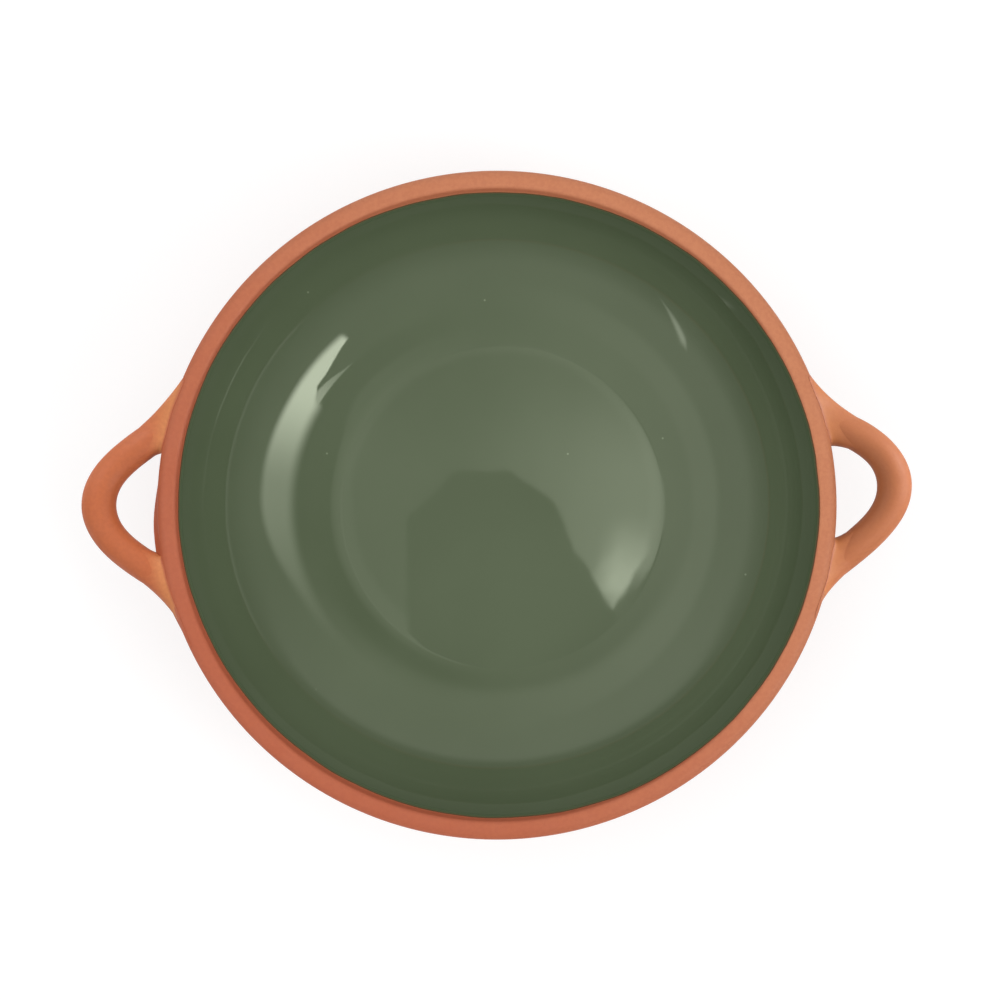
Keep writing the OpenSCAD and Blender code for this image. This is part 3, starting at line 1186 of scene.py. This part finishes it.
def key_light(tree, turn, height):
    """The window on the right: it ends in two branches at its near end and fades to the far end."""
    widens = ramp(tree, turn, *WINDOW_WIDENS)
    wider = maths(tree, "MULTIPLY", widens, WINDOW_WIDER)
    top = maths(tree, "ADD", ramp(tree, turn, *WINDOW_TOP), wider)
    foot = total(tree, [ramp(tree, turn, *slope) for slope in WINDOW_FOOT])
    soft = ramp(tree, widens, *WINDOW_SOFT)
    window = product(tree, [
        standing(tree, height, foot, top, WINDOW_FOOT_EDGE, soft),
        ramp(tree, turn, *WINDOW_END),
        total(tree, [ramp(tree, turn, *slope) for slope in WINDOW_FADE]),
    ])
    branch_foot = ramp(tree, turn, *BRANCH_FOOT)
    branch_top = ramp(tree, turn, *BRANCH_TOP)
    branch = product(tree, [
        standing(tree, height, branch_foot, branch_top, BRANCH_EDGE, BRANCH_EDGE),
        *[ramp(tree, turn, *slope) for slope in BRANCH_LEVELS],
    ])
    return maths(tree, "MAXIMUM", window, branch)


def strip_lights(tree, turn, height):
    """The low strip and the slanting streak."""
    strip = product(tree, [
        between(tree, turn, *STRIP_TURNS),
        between(tree, height, *STRIP_BAND),
        STRIP_LEVEL,
    ])
    line = maths(tree, "MULTIPLY_ADD", turn, STREAK_SLANT, STREAK_HEIGHT)
    off = maths(tree, "ABSOLUTE", maths(tree, "SUBTRACT", height, line))
    lens = between(tree, turn, *STREAK_TURNS)
    width = maths(tree, "MULTIPLY", lens, STREAK_WIDTH)
    streak = product(tree, [ramp(tree, off, 0, width, 1.0, 0.0), lens, STREAK_LEVEL])
    return maths(tree, "ADD", strip, streak)


def from_line(tree, across, up, start, end):
    """How far a spot lies along a line from start to end, and how far to the left of it."""
    way = (Vector(end) - Vector(start)).normalized()
    aside = maths(tree, "SUBTRACT", across, start[0])
    ahead = maths(tree, "SUBTRACT", up, start[1])
    along = maths(tree, "MULTIPLY_ADD", aside, way.x, maths(tree, "MULTIPLY", ahead, way.y))
    left = maths(tree, "MULTIPLY_ADD", aside, -way.y, maths(tree, "MULTIPLY", ahead, way.x))
    return along, left


def past_line(tree, across, up, line):
    """1 on the left of a line and 0 on its right, with a soft edge."""
    left = from_line(tree, across, up, *line)[1]
    return ramp(tree, left, -LINE_EDGE, LINE_EDGE)


def overhead_light(tree, way, height):
    """What the floor mirrors: a dark arch, paler all round it, and a bright wedge on its right."""
    across = maths(tree, "MULTIPLY", maths(tree, "SUBTRACT", way["X"], FLOOR_MIRROR_X), FLOOR_MIRROR)
    up = maths(tree, "MULTIPLY", maths(tree, "SUBTRACT", way["Y"], FLOOR_MIRROR_Y), FLOOR_MIRROR)
    arch = product(tree, [past_line(tree, across, up, line) for line in ARCH_SIDES])
    arch_right = maths(tree, "MAXIMUM", *[past_line(tree, across, up, line) for line in ARCH_RIGHT])
    outside = maths(tree, "SUBTRACT", 1.0, maths(tree, "MULTIPLY", arch, arch_right))
    inner = past_line(tree, across, up, WEDGE_SIDE)
    pale = product(tree, [
        ramp(tree, across, *PALE_ACROSS),
        ramp(tree, across, *PALE_END),
        ramp(tree, up, *PALE_UP),
        maths(tree, "MAXIMUM", inner, ramp(tree, up, *PALE_FOOT)),
    ])
    along, left = from_line(tree, across, up, *WEDGE_RIDGE)
    wedge = product(tree, [
        ramp(tree, along, *WEDGE_FADE),
        ramp(tree, along, *WEDGE_TIP),
        between(tree, left, *WEDGE_BAND),
        inner,
    ])
    spots = {0: joined(tree, across, up), 1: RING_MIDDLE}
    distance = add(tree, "ShaderNodeVectorMath", spots, operation="DISTANCE").outputs["Value"]
    ring = maths(tree, "MULTIPLY", between(tree, distance, *RING_BAND), RING_LEVEL)
    pattern = maths(tree, "MULTIPLY", outside, total(tree, [pale, wedge, ring]))
    shaded = maths(tree, "SUBTRACT", pattern, OVERHEAD_SHADE)
    return maths(tree, "MULTIPLY", shaded, ramp(tree, height, *OVERHEAD))


def make_lamp(side, lit):
    """A low lamp, which lights one handle and its slip alone."""
    turn, height, level = LAMPS[side]
    lamp = bpy.data.objects.new("lamp_" + side, bpy.data.lights.new("lamp_" + side, "SUN"))
    lamp.data.energy = level
    lamp.data.angle = LAMP_SIZE
    lamp.rotation_euler = (math.pi / 2 - height, 0, turn + math.pi / 2)
    bpy.context.scene.collection.objects.link(lamp)
    receivers = bpy.data.collections.new("lit_" + side)
    for obj in lit:
        receivers.objects.link(obj)
    lamp.light_linking.receiver_collection = receivers


def make_camera():
    """Looks down at the rim, which lies in the picture as it does in the photograph."""
    camera = bpy.data.objects.new("camera", bpy.data.cameras.new("camera"))
    bpy.context.scene.collection.objects.link(camera)
    mm_per_px = RIM_R / RIM_R_PX
    aside = (IMAGE_PX / 2 - RIM_CENTRE_PX[0]) * mm_per_px
    upward = (RIM_CENTRE_PX[1] - IMAGE_PX / 2) * mm_per_px
    camera.data.sensor_width = SENSOR
    camera.data.lens = SENSOR * CAMERA_AWAY / (IMAGE_PX * mm_per_px * MM)
    camera.data.clip_end = CAMERA_REACH
    camera.matrix_world = (
        Matrix.Translation((0, 0, RIM_H * MM))
        @ Matrix.Rotation(CAMERA_TILT, 4, "X")
        @ Matrix.Rotation(-CAMERA_ROLL, 4, "Z")
        @ Matrix.Translation((aside * MM, upward * MM, CAMERA_AWAY))
    )
    bpy.context.scene.camera = camera


def make_dish():
    """Every piece of the dish, with the CAD node that it stands for and the slot of its material."""
    throwing = throwing_tree()
    rolling = rolling_tree()
    bare_clay = clay_material("bare_clay", BARE_CLAY)
    rod_clay = clay_material("rod_clay", ROD_CLAY)
    slip_clay = clay_material("slip_clay", ROD_CLAY, SLIP_AT_ROOT, SLIP_AT_WALL)
    made = [
        (make_bowl(throwing, bare_clay), "bowl_body", "clay"),
        (make_glaze(throwing, glaze_material()), "glaze_lining", "glaze"),
    ]
    for side in HANDLE_TURNS:
        made.append((make_handle(side, rolling, rod_clay), "handle_" + side, "clay"))
        for place in BENDS[side]:
            node = f"slip_{side}_{place}"
            made.append((make_slip(side, place, f"smeared_{node}", slip_clay), node, "slip"))
    return made


def main():
    bpy.context.scene.view_settings.view_transform = "Standard"
    make_camera()
    make_floor()
    make_light()
    made = make_dish()
    for side in LAMPS:
        make_lamp(side, [obj for obj, node, slot in made if side in node])
    for obj, node, slot in made:
        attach(obj, BODY)
        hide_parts(node)


main()
